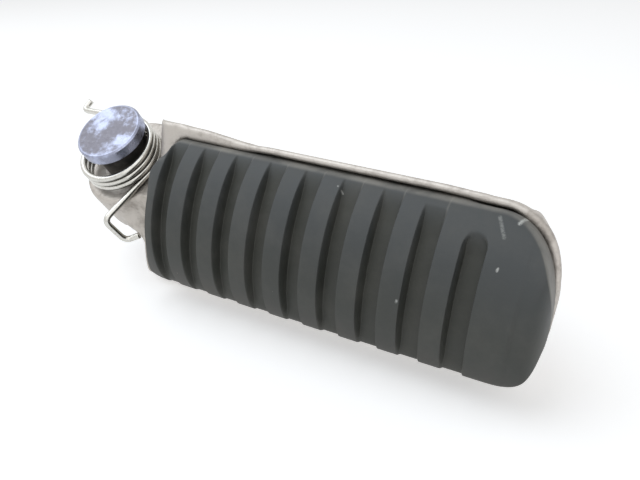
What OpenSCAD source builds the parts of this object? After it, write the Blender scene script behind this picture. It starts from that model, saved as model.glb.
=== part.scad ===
// Motorcycle rider's footpeg, right-hand side, folding, with a ribbed rubber pad.
// Frame: the origin lies on the hinge axis, just inside the lower face of the pivot knuckle.
// +X points outboard along the peg, +Y to the front of the bike, +Z up, in millimetres.

/* [Hinge] */
// Lean of the hinge axis from vertical, toward the front
hinge_lean = 45; // [42:1:48]
// Diameter of the pivot pin
pin_d = 10; // [8:0.5:11]
// Diameter of the pin's head
head_d = 18; // [16:0.5:18.4]
// Thickness of the pin's head
head_t = 3.3; // [2.5:0.1:5]
// Chamfer round the pin's head and its free end
head_chamfer = 0.4; // [0.3:0.1:1]
// Gap under the pin's head
head_gap = 0.2; // [0.1:0.1:0.5]
// Length of bare pin below the knuckle, for the bracket's lower lug
pin_tail_l = 14; // [12:0.5:20]
// Width of the relief groove where the pin leaves the knuckle
relief_w = 1.2; // [0.8:0.1:2]
// Depth of that groove
relief_t = 0.4; // [0.3:0.05:0.6]
// How far that groove reaches below the knuckle
relief_drop = 0.3; // [0.2:0.1:0.5]
// Diameter of the split pin hole
split_hole_d = 3.2; // [2:0.2:3.6]
// Middle of the split pin hole, from the pin's free end
split_hole_inset = 4; // [3:0.5:6]
// Radial clearance of the pin in its bores
pin_clearance = 0.08; // [0.05:0.01:0.1]

/* [Knuckle] */
// Outer diameter of the knuckle
knuckle_d = 28.6; // [27:0.1:29]
// Level of the knuckle's upper face along the hinge axis
knuckle_h = 12; // [11:0.5:13]
// How far the knuckle's lower face lies below the origin
knuckle_low = 1.5; // [1:0.1:2]
// Edge break of the knuckle's ends
knuckle_chamfer = 0.8; // [0.5:0.1:1.5]
// Outer diameter of the steel collar inside the spring
collar_d = 14; // [13:0.2:15]
// Height of the collar above the knuckle
collar_stand = 8.9; // [8:0.1:12]
// Depth of the collar's seat in the knuckle
collar_seat = 1.5; // [1:0.1:3]
// Stop flat, from the hinge axis
stop_y = 15; // [14.5:0.5:17]
// Inboard edge of the stop flat
stop_x0 = 2; // [1:0.5:4]
// Outboard edge of the stop flat
stop_x1 = 13; // [12:0.5:16]
// Width of the stop flat
stop_w = 12; // [10:0.5:16]
// Radius kept clear round the coil
coil_sweep_r = 12.8; // [12.6:0.1:14]
// Radius kept clear for the bracket's lower lug
lug_sweep_r = 15; // [14.8:0.1:16]

/* [Spring] */
// Diameter of the spring wire
wire_d = 1.7; // [1.4:0.1:1.9]
// Inside diameter of the coil
coil_id = 18.6; // [18.2:0.2:19.4]
// Full turns between the legs
coil_turns = 3; // [3:1:4]
// Gap between turns
turn_gap = 0.06; // [0.04:0.01:0.1]
// How far the loose coil lies inboard of the hinge axis
coil_slack_x = 0.9; // [0:0.1:1]
// How far the loose coil lies to the rear of the hinge axis
coil_slack_y = 1.1; // [0:0.1:1.1]
// Angle from +X at which the short leg leaves the top turn
leg_start = 90; // [80:5:100]
// Angle past +X at which the long leg leaves the bottom turn
leg_exit = 13; // [8:1:18]
// Straight length of the long leg
long_leg_l = 17; // [15:0.5:18]
// Drop of the long leg's hook along the hinge axis
hook_drop = 8; // [6:0.5:8.5]
// Outboard shift of the hook
hook_out = 2.4; // [1:0.2:3]
// Rearward shift of the hook
hook_back = 0.6; // [0:0.2:1]
// Length of the hook's tip
hook_tip = 3; // [2:0.2:3.4]
// Length of the short leg
short_leg_l = 21.2; // [18:0.1:23]
// Length of the short leg's toe
toe_l = 3.3; // [3:0.1:5]
// Size of each bend in the legs
bend_r = 2; // [1:0.1:2.2]

/* [Pad] */
// Height of the pad's widest level over the hinge axis
pad_z = 15; // [14:0.5:17]
// Width of the rubber pad
pad_w = 38.6; // [36:0.2:39]
// Half width of the ellipse that gives the crown
crown_half = 20.6; // [20:0.1:21]
// Rise of that ellipse
crown_rise = 13.06; // [12:0.01:14]
// Height of its centre over the hinge axis
crown_base = 12.52; // [12:0.01:13]
// How far its centre lies to the front
crown_front = 1.23; // [0.8:0.01:1.6]
// Lean of the crown to the front
crown_lean = 6.5; // [4:0.5:8]
// Draw-in of the pad's rear edge at its outboard end, as a share of the half width
rear_taper = 0.24; // [0.15:0.01:0.25]
// Inboard end of the pad
pad_x0 = 16.6; // [16:0.1:18]
// Outboard end of the pad
pad_x1 = 115; // [112:1:120]
// Depth of the pad below its widest level
pad_foot = 4; // [3.5:0.1:5]
// Gap between the pad and the rim
pad_gap = 0.3; // [0.1:0.1:0.5]
// Length of the bowed outboard end
end_cap = 15; // [12:0.5:18]
// Squareness of the bowed outboard end
end_exponent = 2.7; // [2.2:0.1:3]
// Squareness of the front inboard corner
front_exponent = 1.6; // [1.4:0.1:2.4]
// Squareness of the rear inboard corner
rear_exponent = 2.8; // [2:0.1:3]
// Run of the front inboard corner
front_corner = 9; // [8:0.5:14]
// Run of the rear inboard corner
rear_corner = 6.5; // [3:0.5:8]
// Run of the rounded outboard edge
end_round = 8; // [4:0.5:14]
// Run of the sloped inboard face
heel_l = 6.8; // [6:0.1:9]
// Number of grooves
groove_n = 9; // [6:1:9]
// Inboard wall of the first groove
groove_x0 = 24; // [23.5:0.1:25]
// Spacing of the ribs
rib_pitch = 9.2; // [8.8:0.1:9.4]
// Width of a groove
groove_w = 4.27; // [3.5:0.01:5]
// Depth of the grooves at the crown
groove_depth = 3; // [2:0.1:4]
// Height of the ledge that ends the grooves
ledge_h = 1; // [0.5:0.1:2]
// Width of the ledge that ends the grooves
ledge_w = 1.6; // [1:0.1:2.5]
// Smooth front margin at the first groove
margin_in = 0.8; // [0.5:0.1:2]
// Growth of that margin up to the last groove
margin_growth = 6.5; // [4:0.5:8]
// How late that growth comes
margin_power = 8; // [4:1:10]

/* [Casting] */
// Inboard end of the tray
tray_x0 = 9; // [8:0.5:10]
// Width of the tray over its rims
tray_w = 41.8; // [41.4:0.2:43]
// Rim beyond the pad's outboard end
rim_end = 0.8; // [0.5:0.1:2]
// Extra width of the front rim near the neck
rim_flare = 1.6; // [1:0.1:2]
// Outboard end of the wider front rim
flare_x = 31; // [26:1:36]
// Height of the front rim over the pad's widest level
rim_rise = 1.6; // [1:0.1:2]
// Drop of the rear wall below the pad's widest level
rear_drop = 1.5; // [1:0.1:2]
// Half width over which the rim falls to the rear wall
rim_fade = 6; // [4:0.5:8]
// Draft of the walls from the rim to the floor
rim_draft = 0.9; // [0.5:0.1:1.2]
// Thickness of the tray floor
floor_t = 3; // [2.5:0.1:4]
// Thickness of the outer walls
wall_t = 3; // [2.5:0.1:4]
// Draft of the walls from the floor to the keel
wall_draft = 3; // [2:0.1:3.4]
// Radius of the keel edges
keel_r = 2; // [1:0.1:2.6]
// Level run of the keel at the neck
keel_flat = 10; // [8:0.5:12]
// Thickness of the webs under the floor
web_t = 2.6; // [2:0.1:4]
// Spacing of the cross webs
web_pitch = 23; // [20:0.5:26]
// First cross web
web_x0 = 21; // [21:0.5:22]
// Level of the keel at the neck
keel_z = -4; // [-5:0.5:-3]
// Level of the keel at the outboard end
tip_keel_z = 1; // [-1:0.5:3]
// Run of the swept outboard end of the keel
tip_sweep = 14; // [8:0.5:20]

/* [Fixings] */
// Diameter of the pad bolts
bolt_d = 6; // [5:0.5:6]
// Inboard bolt, from the hinge axis
bolt_x0 = 44; // [40:1:48]
// Outboard bolt, from the hinge axis
bolt_x1 = 90; // [84:1:94]
// Play of a bolt in a plain hole
bolt_play = 0.6; // [0.3:0.1:1]
// Play of a bolt in its nut
thread_play = 0.1; // [0.05:0.05:0.2]
// Reach of a bolt over the tray floor
bolt_reach = 7.5; // [7:0.1:8]
// Height of a bolt head
bolt_head_t = 4; // [3:0.1:5]
// Width of the hexagons across flats
nut_af = 10; // [9:0.5:11]
// Height of a weld nut
nut_t = 5; // [4:0.1:5]
// Diameter of the washers
washer_d = 12.5; // [12:0.1:13]
// Thickness of the washers
washer_t = 1.6; // [1:0.1:2]
// Diameter of the bolt bosses
boss_d = 15; // [14:0.5:18]
// Drop of the bosses below the floor
boss_drop = 1; // [0.5:0.1:2]
// Thickness of the steel plate in the pad
plate_t = 2; // [1.5:0.1:2.5]
// Width of the steel plate
plate_w = 26; // [20:0.5:28]
// Plate beyond each bolt
plate_over = 14; // [10:0.5:16]
// Diameter of the plate's key holes
key_d = 8; // [6:0.5:10]
// First key hole from each bolt
key_inset = 11; // [9:0.5:13]

/* [Hidden] */
$fn = 64;

// Levels along the hinge axis
head_z = knuckle_h + collar_stand + head_gap;
pin_end_z = -knuckle_low - pin_tail_l;
bore_d = pin_d + 2 * pin_clearance;

// Levels above the hinge axis
floor_z = pad_z - pad_foot;
under_z = floor_z - floor_t;
boss_z = under_z - boss_drop;
rim_z = pad_z + rim_rise;
crown_h = crown_base + crown_rise - pad_z;
crown_z = pad_z + crown_h;

// A point at angle t on a superellipse with half axes a and b and exponent n
function super_point(a, b, n, t) =
  [a * sign(cos(t)) * pow(abs(cos(t)), 2 / n), b * sign(sin(t)) * pow(abs(sin(t)), 2 / n)];

// Plan outline: straight sides, a bowed outboard end, and an inboard end of its own shape at each corner
function plan_outline(half_w, x_end, cap, x_in, front_in, rear_in) = draw_in(x_in, x_end, concat(
  [for (t = [-90:6:90]) [x_end - cap, 0] + super_point(cap, half_w, end_exponent, t)],
  [for (t = [90:10:180]) [x_in + front_in, 0] + super_point(front_in, half_w, front_exponent, t)],
  [for (t = [190:10:270]) [x_in + rear_in, 0] + super_point(rear_in, half_w, rear_exponent, t)]));

// Draws the rear side of an outline in towards the outboard end
function draw_in(x_in, x_end, points) =
  [for (p = points) [p[0], p[1] * (p[1] < 0 ? 1 - rear_taper * (p[0] - x_in) / (x_end - x_in) : 1)]];

// Turns a child drawn with the hinge axis on Z into the peg's frame
module on_hinge() {
  rotate([-hinge_lean, 0, 0]) children();
}

// A prism along X of a profile given as [y, z]
module along_x(x0, x1) {
  translate([x0, 0, 0]) rotate([90, 0, 90]) linear_extrude(x1 - x0) children();
}

// A prism along Y of a profile given as [x, z]
module along_y(half) {
  translate([0, half, 0]) rotate([90, 0, 0]) linear_extrude(2 * half) children();
}

module pivot_pin() {
  r = pin_d / 2;
  head_r = head_d / 2;
  head_top = head_z + head_t;
  relief_z = -knuckle_low - relief_drop;
  color("silver") on_hinge() difference() {
    rotate_extrude() polygon([
      [0, pin_end_z], [r - head_chamfer, pin_end_z], [r, pin_end_z + head_chamfer],
      [r, relief_z], [r - relief_t, relief_z], [r - relief_t, relief_z + relief_w], [r, relief_z + relief_w],
      [r, head_z], [head_r - head_chamfer, head_z], [head_r, head_z + head_chamfer],
      [head_r, head_top - head_chamfer], [head_r - head_chamfer, head_top], [0, head_top]]);
    translate([0, 0, pin_end_z + split_hole_inset]) rotate([90, 0, 0])
      cylinder(d = split_hole_d, h = pin_d + 2, center = true);
  }
}

module spring_collar() {
  color("dimgray") on_hinge() translate([0, 0, knuckle_h - collar_seat]) difference() {
    cylinder(d = collar_d, h = collar_seat + collar_stand);
    translate([0, 0, -1]) cylinder(d = bore_d, h = collar_seat + collar_stand + 2);
  }
}

// Spring wire: its centreline runs short leg, coil, long leg, in the hinge's own axes
coil_r = (coil_id + wire_d) / 2;
coil_step = 15;
coil_c = [-coil_slack_x, -coil_slack_y];
coil_low = knuckle_h + wire_d / 2 + turn_gap;
coil_pitch = wire_d + turn_gap;
coil_sweep = 360 * coil_turns + leg_start + leg_exit;
coil_top = coil_low + coil_pitch * coil_sweep / 360;
function coil_point(a) = [
  coil_c[0] + coil_r * cos(leg_start - a), coil_c[1] + coil_r * sin(leg_start - a),
  coil_top - coil_pitch * a / 360];
function unit(v) = v / norm(v);
// A rounded corner at b between the wires from a and to c
function bend(a, b, c, r) = let (p = b + r * unit(a - b), q = b + r * unit(c - b))
  [for (i = [0:3]) let (t = i / 3) (1 - t) * (1 - t) * p + 2 * t * (1 - t) * b + t * t * q];
exit_dir = [sin(-leg_exit), -cos(leg_exit), 0];
hook_1 = coil_point(coil_sweep) + long_leg_l * exit_dir;
hook_2 = hook_1 + [hook_out, -hook_back, -hook_drop];
hook_3 = hook_2 + [hook_tip, hook_tip * 0.9, 0];
toe_1 = coil_point(0) + [-short_leg_l, 0, 0];
toe_2 = toe_1 + [toe_l * 0.25, toe_l, 0.5];
wire_path = concat(
  [toe_2], bend(toe_2, toe_1, coil_point(0), bend_r),
  [for (a = [0:coil_step:coil_sweep]) coil_point(a)],
  bend(coil_point(coil_sweep), hook_1, hook_2, bend_r),
  bend(hook_1, hook_2, hook_3, bend_r), [hook_3]);
function tangent(p, i) = unit(p[min(i + 1, len(p) - 1)] - p[max(i - 1, 0)]);
// Side vectors carried along the wire without twisting
function carry(p, i, n) = i == len(p) ? [] :
  let (t = tangent(p, i), m = unit(n - (n * t) * t)) concat([m], carry(p, i + 1, m));

module return_spring() {
  sides = 10;
  count = len(wire_path);
  normals = carry(wire_path, 0, [0, 0, 1]);
  points = [for (i = [0:count - 1]) let (t = tangent(wire_path, i), n = normals[i], b = cross(t, n))
    for (k = [0:sides - 1]) wire_path[i] + wire_d / 2 * (n * cos(360 * k / sides) + b * sin(360 * k / sides))];
  color("gainsboro") on_hinge() polyhedron(points, concat(
    [[for (k = [0:sides - 1]) k]],
    [[for (k = [sides - 1:-1:0]) (count - 1) * sides + k]],
    [for (i = [0:count - 2]) for (k = [0:sides - 1]) let (m = (k + 1) % sides)
      [i * sides + k, (i + 1) * sides + k, (i + 1) * sides + m, i * sides + m]]));
}

// Outer form of the tray, with drafted side walls that round into the keel
module tray_form() {
  half = tray_w / 2;
  tip = pad_x1 + rim_end;
  waist = half - rim_draft;
  foot = waist - wall_draft;
  intersection() {
    translate([0, 0, keel_z]) linear_extrude(rim_z - keel_z)
      polygon(plan_outline(half, tip, end_cap + 2, tray_x0, 4, 4));
    along_x(tray_x0, tip) polygon(concat(
      [[half, rim_z], [waist, floor_z]],
      [for (t = [0:-15:-90]) [foot - keel_r, keel_z + keel_r] + super_point(keel_r, keel_r, 2, t)],
      [for (t = [-90:-15:-180]) [keel_r - foot, keel_z + keel_r] + super_point(keel_r, keel_r, 2, t)],
      [[-waist, floor_z], [-half, rim_z]]));
    along_y(half + 1) polygon(concat(
      [[tray_x0, rim_z], [tray_x0, keel_z], [tray_x0 + keel_flat, keel_z]],
      [for (t = [-90:10:0]) [tip - tip_sweep, pad_z] + super_point(tip_sweep, pad_z - tip_keel_z, 2.2, t)],
      [[tip, rim_z]]));
  }
}

// Space under the floor, open below
module underside() {
  half = tray_w / 2 - rim_draft - wall_t;
  foot = half - wall_draft;
  x0 = web_x0 + web_t / 2;
  intersection() {
    translate([0, 0, keel_z - 1]) linear_extrude(under_z - keel_z + 1)
      polygon(plan_outline(half, pad_x1 + rim_end - wall_t, end_cap, x0, 3, 3));
    along_x(x0, pad_x1) polygon([[-half, under_z], [-foot, keel_z - 1], [foot, keel_z - 1], [half, under_z]]);
    along_y(half + 1) polygon([[tray_x0, under_z], [tray_x0, keel_z - 1], [pad_x1 - tip_sweep, keel_z - 1],
      [pad_x1 + rim_end - wall_t, under_z]]);
  }
}

// Cylinder round each bolt axis
module at_bolts() {
  for (x = [bolt_x0, bolt_x1]) translate([x, 0, 0]) children();
}

module webs() {
  translate([web_x0, -web_t / 2, keel_z]) cube([pad_x1 - web_x0, web_t, under_z - keel_z + 1]);
  for (x = [web_x0 + web_pitch:web_pitch:bolt_x1 + web_pitch / 2])
    translate([x - web_t / 2, -tray_w / 2, keel_z]) cube([web_t, tray_w, under_z - keel_z + 1]);
}

module neck() {
  intersection() {
    translate([0, 0, keel_z]) linear_extrude(rim_z - keel_z) polygon([
      [3, -9], [6.5, -10], [9.5, -11.8], [12, -14.2], [14, -17], [15, -19], [tray_x0 + 7, 0],
      [tray_x0 + 7, tray_w / 2], [tray_x0, tray_w / 2 + 0.9], [5, tray_w / 2 + 0.3], [1, tray_w / 2 - 1.2],
      [-2.5, tray_w / 2 - 3.6], [-5, tray_w / 2 - 6.5], [-6.5, 11]]);
    along_x(-knuckle_d, tray_x0 + keel_flat) polygon([[-tray_w / 2, rim_z], [-tray_w / 2, keel_z],
      [tray_w / 2 - rim_draft - wall_draft, keel_z], [tray_w / 2 + rim_flare, rim_z]]);
    along_y(tray_w) polygon([[-8, -2], [tray_x0, keel_z], [tray_x0 + 8, keel_z], [tray_x0 + 8, rim_z],
      [4, rim_z], [-8, 8]]);
  }
}

// Wider front rim beside the neck, drafted as the walls are
module front_flare() {
  half = tray_w / 2;
  wide = half + rim_flare;
  intersection() {
    translate([0, 0, floor_z]) linear_extrude(rim_z - floor_z) polygon([
      [tray_x0, 0], [tray_x0, half + 0.9], [tray_x0 + 8, half + 1.4], [flare_x - 8, wide], [flare_x, wide - 0.3],
      [flare_x + 6, half + 0.8], [flare_x + 13, half], [flare_x + 13, 0]]);
    along_x(tray_x0, flare_x + 14) polygon([[0, floor_z], [wide - rim_draft, floor_z], [wide, rim_z], [0, rim_z]]);
  }
}

// Block under the neck whose flat meets the bracket when the peg is down
module stop_heel() {
  on_hinge() translate([stop_x0, 0, -knuckle_low]) cube([stop_x1 - stop_x0, stop_y, stop_w]);
}

module peg_body() {
  color("darkgray") difference() {
    union() {
      difference() {
        union() {
          tray_form();
          neck();
          front_flare();
        }
        // Seat of the rubber, open to the rear over the low rear wall
        translate([0, 0, floor_z]) linear_extrude(pad_foot + rim_rise + 1)
          polygon(plan_outline(pad_w / 2 + pad_gap, pad_x1 + pad_gap, end_cap, pad_x0 - pad_gap,
                               front_corner, rear_corner));
        along_x(-knuckle_d, pad_x1 + tray_w) polygon([[rim_fade, rim_z], [-rim_fade, pad_z - rear_drop],
          [-tray_w, pad_z - rear_drop], [-tray_w, crown_z], [rim_fade, crown_z]]);
        // Hollow underside between the walls, webs and bosses
        difference() {
          underside();
          webs();
          at_bolts() translate([0, 0, keel_z]) cylinder(d = boss_d, h = under_z - keel_z + 1);
        }
        // Flat round each bolt head
        at_bolts() translate([0, 0, keel_z - 20]) cylinder(d = boss_d + 4, h = boss_z - keel_z + 20);
        // Sweep of the bracket's lugs and of the spring
        on_hinge() translate([0, 0, knuckle_h]) cylinder(r = coil_sweep_r, h = 40);
        on_hinge() translate([0, 0, -knuckle_low - 40]) cylinder(r = lug_sweep_r, h = 40);
      }
      on_hinge() rotate_extrude() polygon([
        [0, -knuckle_low], [knuckle_d / 2 - knuckle_chamfer, -knuckle_low],
        [knuckle_d / 2, -knuckle_low + knuckle_chamfer],
        [knuckle_d / 2, knuckle_h - knuckle_chamfer], [knuckle_d / 2 - knuckle_chamfer, knuckle_h], [0, knuckle_h]]);
      stop_heel();
    }
    on_hinge() translate([0, 0, -knuckle_low - 1]) cylinder(d = bore_d, h = knuckle_h + knuckle_low + 2);
    on_hinge() translate([0, 0, knuckle_h - collar_seat]) cylinder(d = collar_d, h = collar_seat + 1);
    at_bolts() translate([0, 0, boss_z - 1]) cylinder(d = bolt_d + bolt_play, h = floor_z - boss_z + 2);
  }
}

// Crown of the pad: half an ellipse that leans to the front
module crown(half, rise) {
  translate([crown_front, crown_base]) rotate(-crown_lean)
    polygon(concat([[-half, -half], [half, -half]], [for (t = [0:6:180]) super_point(half, rise, 2, t)]));
}

module rubber_pad() {
  half = pad_w / 2;
  color("darkslategray") difference() {
    intersection() {
      along_x(pad_x0, pad_x1) crown(crown_half, crown_rise);
      translate([0, 0, floor_z]) linear_extrude(crown_h + pad_foot)
        polygon(plan_outline(half, pad_x1, end_cap, pad_x0, front_corner, rear_corner));
      along_y(half + 1) polygon(concat(
        [[pad_x0, floor_z], [pad_x1, floor_z]],
        [for (t = [0:10:90]) [pad_x1 - end_round, pad_z + 1] + super_point(end_round, crown_h - 1, 2.4, t)],
        [for (t = [90:10:180]) [pad_x0 + heel_l, pad_z - 0.5] + super_point(heel_l, crown_h + 0.5, 1.7, t)]));
    }
    for (i = [0:groove_n - 1]) let (
        x = groove_x0 + i * rib_pitch,
        rear = half * (1 - rear_taper * (x - pad_x0) / (pad_x1 - pad_x0)) - ledge_w,
        front = half - margin_in - margin_growth * pow(i / (groove_n - 1), margin_power)) difference() {
      translate([x, -rear, pad_z + ledge_h]) cube([groove_w, rear + front, crown_h]);
      along_x(pad_x0, pad_x1) crown(crown_half - ledge_w, crown_rise - groove_depth);
    }
    translate([0, 0, floor_z - 1]) plate_blank(plate_t + 1);
    at_bolts() translate([0, 0, floor_z]) {
      cylinder(d = nut_af / cos(30), h = plate_t + nut_t, $fn = 6);
      cylinder(d = bolt_d + bolt_play, h = bolt_reach + 0.5);
    }
  }
}

module plate_blank(t) {
  translate([bolt_x0 - plate_over, -plate_w / 2, 0]) cube([bolt_x1 - bolt_x0 + 2 * plate_over, plate_w, t]);
}

module pad_plate() {
  color("slategray") difference() {
    translate([0, 0, floor_z]) plate_blank(plate_t);
    at_bolts() translate([0, 0, floor_z - 1]) cylinder(d = bolt_d + bolt_play, h = plate_t + 2);
    for (x = [bolt_x0 + key_inset:(bolt_x1 - bolt_x0 - 2 * key_inset) / 2:bolt_x1 - key_inset])
      translate([x, 0, floor_z - 1]) cylinder(d = key_d, h = plate_t + 2);
  }
}

module pad_nut() {
  color("darkgray") translate([0, 0, floor_z + plate_t]) difference() {
    cylinder(d = nut_af / cos(30), h = nut_t, $fn = 6);
    translate([0, 0, -1]) cylinder(d = bolt_d + thread_play, h = nut_t + 2);
  }
}

module pad_washer() {
  color("silver") translate([0, 0, boss_z - washer_t]) difference() {
    cylinder(d = washer_d, h = washer_t);
    translate([0, 0, -1]) cylinder(d = bolt_d + bolt_play, h = washer_t + 2);
  }
}

module pad_bolt() {
  color("silver") translate([0, 0, boss_z - washer_t]) {
    translate([0, 0, -bolt_head_t]) intersection() {
      cylinder(d = nut_af / cos(30), h = bolt_head_t, $fn = 6);
      cylinder(r1 = nut_af / 2 - 0.2, r2 = nut_af / 2 + bolt_head_t, h = bolt_head_t);
    }
    cylinder(d = bolt_d, h = floor_z + bolt_reach - boss_z + washer_t);
  }
}

pivot_pin();
spring_collar();
return_spring();
peg_body();
rubber_pad();
pad_plate();
translate([bolt_x0, 0, 0]) pad_nut();  // pad_nut_inner
translate([bolt_x1, 0, 0]) pad_nut();  // pad_nut_outer
translate([bolt_x0, 0, 0]) pad_washer();  // pad_washer_inner
translate([bolt_x1, 0, 0]) pad_washer();  // pad_washer_outer
translate([bolt_x0, 0, 0]) pad_bolt();  // pad_bolt_inner
translate([bolt_x1, 0, 0]) pad_bolt();  // pad_bolt_outer
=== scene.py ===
# Motorcycle footpeg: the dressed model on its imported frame, laid out as a Blender add-on.
# Units are metres. +X points outboard along the peg, +Y to the front and +Z up. The origin lies on the hinge
# axis, in the knuckle.
from math import radians

import bmesh
import bpy
import numpy as np
from bpy.props import FloatProperty, FloatVectorProperty, IntProperty, PointerProperty
from mathutils import Matrix, Vector


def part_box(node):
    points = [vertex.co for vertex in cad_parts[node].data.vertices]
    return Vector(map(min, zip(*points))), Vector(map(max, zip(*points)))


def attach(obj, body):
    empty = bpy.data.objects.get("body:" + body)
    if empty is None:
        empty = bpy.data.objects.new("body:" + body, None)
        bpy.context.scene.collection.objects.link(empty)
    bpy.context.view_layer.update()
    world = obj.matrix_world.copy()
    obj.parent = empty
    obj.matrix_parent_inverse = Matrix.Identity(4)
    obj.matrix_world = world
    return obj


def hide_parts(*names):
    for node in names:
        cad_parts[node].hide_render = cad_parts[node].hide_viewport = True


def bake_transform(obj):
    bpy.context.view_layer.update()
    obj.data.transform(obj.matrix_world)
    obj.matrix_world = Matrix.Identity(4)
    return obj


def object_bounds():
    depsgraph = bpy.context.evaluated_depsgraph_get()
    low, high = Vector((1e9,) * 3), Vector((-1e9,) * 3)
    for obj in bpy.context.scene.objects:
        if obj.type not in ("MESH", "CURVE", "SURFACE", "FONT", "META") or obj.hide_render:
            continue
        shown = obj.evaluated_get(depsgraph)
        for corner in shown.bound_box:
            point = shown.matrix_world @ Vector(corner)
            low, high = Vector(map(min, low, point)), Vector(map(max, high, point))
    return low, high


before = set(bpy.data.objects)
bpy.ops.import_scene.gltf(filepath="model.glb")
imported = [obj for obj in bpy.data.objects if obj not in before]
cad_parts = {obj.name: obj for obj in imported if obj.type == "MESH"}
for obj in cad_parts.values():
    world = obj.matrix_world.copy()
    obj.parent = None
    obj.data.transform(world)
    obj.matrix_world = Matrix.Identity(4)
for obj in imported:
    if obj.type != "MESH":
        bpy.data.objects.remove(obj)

bl_info = {
    "name": "Motorcycle Footpeg",
    "version": (1, 0, 0),
    "blender": (4, 5, 0),
    "location": "3D View > Sidebar > Footpeg",
    "description": "Dresses the folding rider's footpeg: rubber pad, spring, casting, fixings and stage",
    "category": "Add Mesh",
}

MM = 0.001
CAD_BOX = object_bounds()
PAD_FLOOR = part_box("rubber_pad")[0][2]
HINGE_AXIS = (0.0, 0.7071, 0.7071)
WHITE = (1.0, 1.0, 1.0, 1.0)

# Pad: points across the crown, steps down each foot and steps across the underside
CROWN_POINTS = 151
FOOT_STEPS = 5
BELOW_STEPS = 8

# Spring: spacing of the rings along the wire, points round it, and wire diameters from the seat to the top
WIRE_STEP = 0.45 * MM
WIRE_SIDES = 20

# Casting: zones where its front flank is shaped. Each limit is an axis, a start and a run in millimetres, and
# a negative run falls. The corner's x is measured from the tip.
NECK_ZONE = (("x", -4, 8), ("x", 13, -6), ("y", 14, 4), ("z", 16, -4), ("z", -1, 4))
CORNER_ZONE = (("x", -19, 10), ("z", 15.5, -6), ("y", 8, 6))

# Scuffs on the pad: start and end in millimetres, width in millimetres, strength
SCUFFS = (
    ((106.1, 17.5, 19.3), (106.9, 18.0, 16.9), 0.55, 0.8),
    ((104.7, 9.2, 24.0), (104.8, 9.7, 24.0), 0.35, 0.7),
    ((87.6, -1.6, 25.7), (87.7, -1.2, 25.7), 0.35, 0.6),
    ((69.3, 16.9, 19.8), (70.4, 15.4, 19.3), 0.3, 0.5),
    ((102.4, 17.8, 19.0), (104.3, 14.8, 21.4), 0.5, 0.28),
)
SCUFF_COLOUR = (0.62, 0.63, 0.60, 1.0)
WIRE_SHADE = (0.03, 0.027, 0.022, 1.0)

# Stage: the lamps' places from the middle of the peg, their size, the floor's paint and half its width
KEY_PLACE = (-0.36, 0.62, 0.30)
FILL_PLACE = (0.45, 0.35, 0.65)
LAMP_SIZE = 0.8
FLOOR_PAINT = (0.9, 0.9, 0.9, 1.0)
FLOOR_REACH = 3.0
SENSOR_WIDTH = 36.0
CLIP_START = 0.005


def length(name, default_mm, description):
    """A length property in metres, given here in millimetres."""
    return FloatProperty(name=name, description=description, default=default_mm * MM, min=0.0, unit="LENGTH",
                         precision=5)


def number(name, default, description):
    """A plain number property."""
    return FloatProperty(name=name, description=description, default=default, precision=4)


def angle(name, default_degrees, description):
    """An angle property, given here in degrees."""
    return FloatProperty(name=name, description=description, default=radians(default_degrees),
                         subtype="ANGLE")


def vector(name, default, description):
    """A place or a direction."""
    return FloatVectorProperty(name=name, description=description, default=default, size=3, precision=5)


def colour(name, default, description):
    """A linear colour property."""
    return FloatVectorProperty(name=name, description=description, default=default, size=3, subtype="COLOR",
                               min=0.0, max=1.0)


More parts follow.
